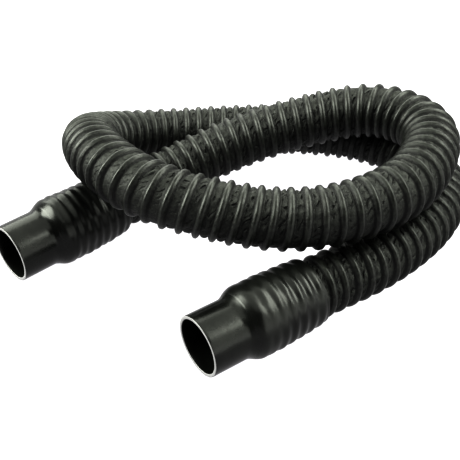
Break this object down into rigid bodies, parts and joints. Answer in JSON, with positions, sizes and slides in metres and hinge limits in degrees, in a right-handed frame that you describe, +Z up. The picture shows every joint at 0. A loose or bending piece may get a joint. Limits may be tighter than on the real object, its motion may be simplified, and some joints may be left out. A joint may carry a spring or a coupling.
{
  "type": "suction hose",
  "caption": "Wire-ribbed flexible suction hose for a pool or spa, lying in a loose loop, with a stepped soft cuff on each end.",
  "frame": {"origin": "on the surface that the hose lies on, under the middle of its bounding box", "axes": "+Z up; both cuffs lie within 5 degrees of the X axis with their mouths towards -X"},
  "size_m": [0.3753, 0.2987, 0.1089],
  "materials": {
    "cover_rubber": "satin black rubberised fabric, softly creased between the ribs",
    "spring_wire": "drawn spring wire",
    "lining_rubber": "smooth black rubber",
    "cuff_rubber": "semi-gloss black moulded rubber",
    "rubber_cement": "set rubber cement"
  },
  "bodies": {
    "root": {"outer_cover": "cover_rubber", "wire_helix": "spring_wire", "inner_lining": "lining_rubber", "left_cuff": "cuff_rubber", "right_cuff": "cuff_rubber", "left_cement_band": "rubber_cement", "right_cement_band": "rubber_cement"}
  },
  "joints": []
}
